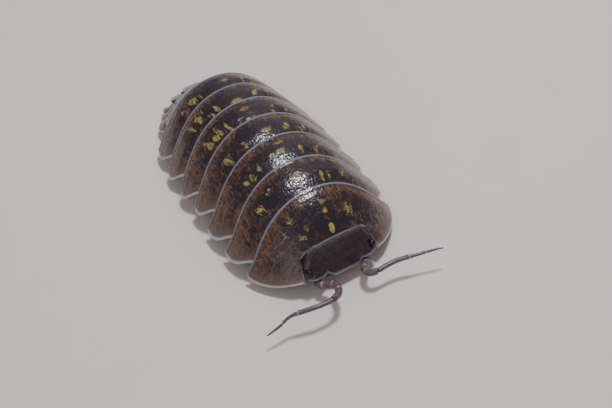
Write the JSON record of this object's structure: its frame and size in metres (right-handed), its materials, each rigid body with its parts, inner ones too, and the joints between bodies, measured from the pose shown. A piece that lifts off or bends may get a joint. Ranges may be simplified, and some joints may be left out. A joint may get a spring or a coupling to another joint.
{
  "type": "pill woodlouse",
  "caption": "Life-size still model of a pill woodlouse with overlapping arched plates, splayed feelers and small legs under its skirts, standing on its feet.",
  "frame": {"origin": "middle of the floor rectangle the animal covers, on the floor it stands on", "axes": "head towards -Y, tail towards +Y, back up +Z, the animal's left side towards +X"},
  "size_m": [0.0096, 0.0178, 0.004],
  "materials": {
    "plate": "glossy chitin, dark brown with yellow and tan marks",
    "head_shell": "glossy chitin, purple-black, finely pitted",
    "eye": "polished black",
    "feeler": "satin grey-purple with paler joints",
    "leg": "satin grey-brown",
    "tail_shell": "glossy chitin, dark brown",
    "gill_cover": "pale, thin chitin"
  },
  "bodies": {
    "root": {"antenna_left_stalk": "feeler", "antenna_left_whip": "feeler", "antenna_right_stalk": "feeler", "antenna_right_whip": "feeler", "eye_left": "eye", "eye_right": "eye", "head": "head_shell", "leg_1_left": "leg", "leg_1_right": "leg", "leg_2_left": "leg", "leg_2_right": "leg", "leg_3_left": "leg", "leg_3_right": "leg", "leg_4_left": "leg", "leg_4_right": "leg", "leg_5_left": "leg", "leg_5_right": "leg", "leg_6_left": "leg", "leg_6_right": "leg", "leg_7_left": "leg", "leg_7_right": "leg", "pereonite_1": "plate", "pereonite_2": "plate", "pereonite_3": "plate", "pereonite_4": "plate", "pereonite_5": "plate", "pereonite_6": "plate", "pereonite_7": "plate", "pleon": "tail_shell", "pleopods_left": "gill_cover", "pleopods_right": "gill_cover", "telson": "tail_shell", "uropod_left": "tail_shell", "uropod_right": "tail_shell"}
  },
  "joints": []
}
